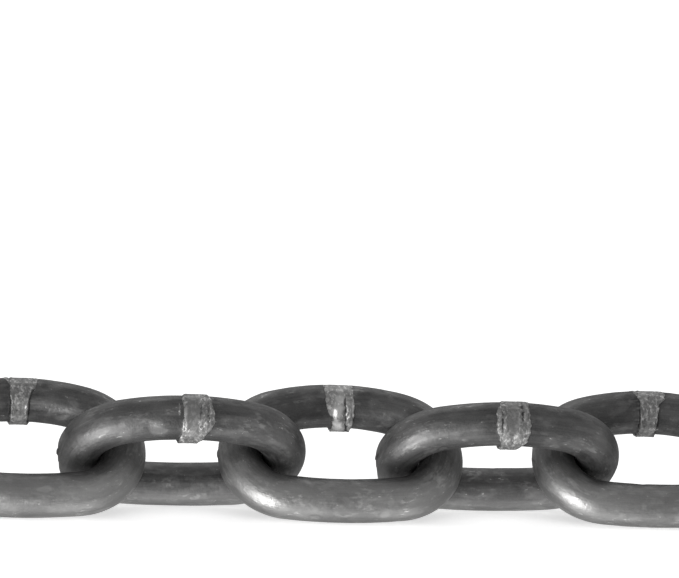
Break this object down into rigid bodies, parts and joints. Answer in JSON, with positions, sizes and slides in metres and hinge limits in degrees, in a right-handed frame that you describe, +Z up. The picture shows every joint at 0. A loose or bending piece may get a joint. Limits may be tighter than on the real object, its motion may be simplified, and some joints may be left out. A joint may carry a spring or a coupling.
{
  "type": "length of welded steel chain",
  "caption": "Short length of bare welded steel chain with oval links, laid out straight on the floor, each link free to swing in the one before it.",
  "frame": {"origin": "on the floor under the middle of the chain", "axes": "+X along the chain, +Z up, +Y away from the viewer of the picture"},
  "size_m": [0.3344, 0.029, 0.0274],
  "materials": {
    "bare_steel": "self-coloured: thin dark grey mill and weld scale, semi-gloss, with fine drawing lines and bright rubbed spots"
  },
  "bodies": {
    "link_1": {"link_1": "bare_steel"},
    "link_2": {"link_2": "bare_steel"},
    "link_3": {"link_3": "bare_steel"},
    "link_4": {"link_4": "bare_steel"},
    "link_5": {"link_5": "bare_steel"},
    "link_6": {"link_6": "bare_steel"},
    "link_7": {"link_7": "bare_steel"},
    "link_8": {"link_8": "bare_steel"},
    "link_9": {"link_9": "bare_steel"}
  },
  "joints": [
    {"name": "link_2_swing", "type": "hinge", "parent": "link_1", "child": "link_2", "pos_m": [-0.11755, 0, 0.01294], "axis": [0, 0.7071, 0.7071], "range_deg": [-120, 120]},
    {"name": "link_3_swing", "type": "hinge", "parent": "link_2", "child": "link_3", "pos_m": [-0.08255, 0, 0.01294], "axis": [0, -0.7071, 0.7071], "range_deg": [-120, 120]},
    {"name": "link_4_swing", "type": "hinge", "parent": "link_3", "child": "link_4", "pos_m": [-0.04755, 0, 0.01294], "axis": [0, -0.7071, -0.7071], "range_deg": [-120, 120]},
    {"name": "link_5_swing", "type": "hinge", "parent": "link_4", "child": "link_5", "pos_m": [-0.01255, 0, 0.01294], "axis": [0, 0.7071, -0.7071], "range_deg": [-120, 120]},
    {"name": "link_6_swing", "type": "hinge", "parent": "link_5", "child": "link_6", "pos_m": [0.02245, 0, 0.01294], "axis": [0, 0.7071, 0.7071], "range_deg": [-120, 120]},
    {"name": "link_7_swing", "type": "hinge", "parent": "link_6", "child": "link_7", "pos_m": [0.05745, 0, 0.01294], "axis": [0, -0.7071, 0.7071], "range_deg": [-120, 120]},
    {"name": "link_8_swing", "type": "hinge", "parent": "link_7", "child": "link_8", "pos_m": [0.09245, 0, 0.01294], "axis": [0, -0.7071, -0.7071], "range_deg": [-120, 120]},
    {"name": "link_9_swing", "type": "hinge", "parent": "link_8", "child": "link_9", "pos_m": [0.12745, 0, 0.01294], "axis": [0, 0.7071, -0.7071], "range_deg": [-120, 120]}
  ]
}
